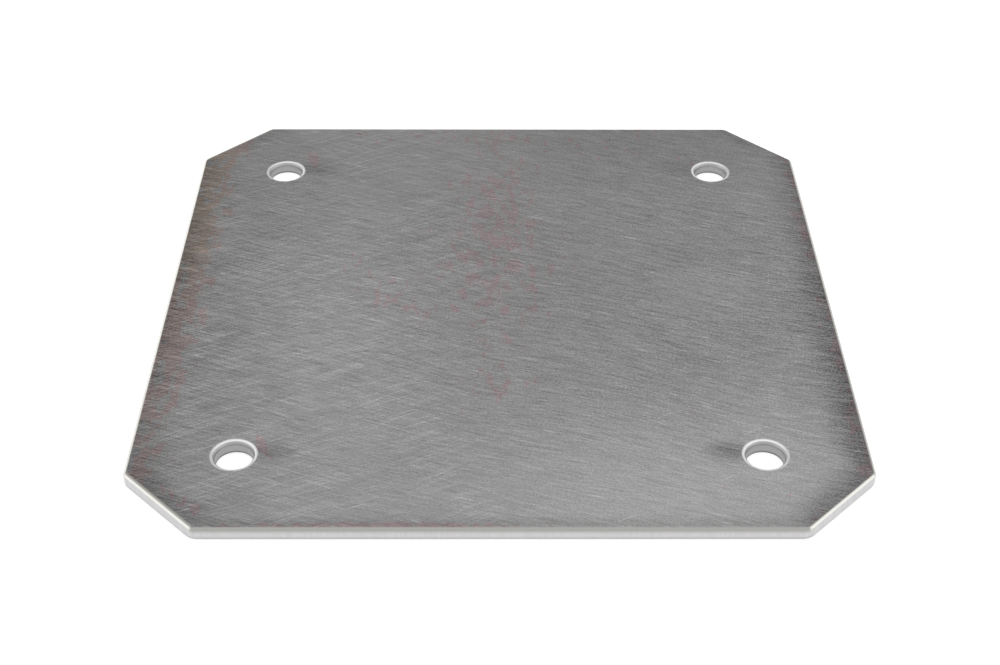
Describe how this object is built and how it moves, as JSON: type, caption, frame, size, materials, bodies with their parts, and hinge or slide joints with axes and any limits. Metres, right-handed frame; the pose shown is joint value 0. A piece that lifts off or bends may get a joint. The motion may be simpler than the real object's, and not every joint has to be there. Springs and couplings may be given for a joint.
{
  "type": "cover plate",
  "caption": "Square sheet-steel cover plate with clipped corners, rounded edges and a bolt hole near each corner, laid or bolted flat over an opening.",
  "frame": {"origin": "centre of the back face, on which the plate lies", "axes": "+Z out of the finished face, square to the sheet; +X and +Y along the straight edges"},
  "size_m": [0.175, 0.175, 0.0032],
  "materials": {
    "plate_steel": "abrasive-brushed face with fine crossing scratches, edges rounded and dressed bright"
  },
  "bodies": {
    "root": {"cover_plate": "plate_steel"}
  },
  "joints": []
}
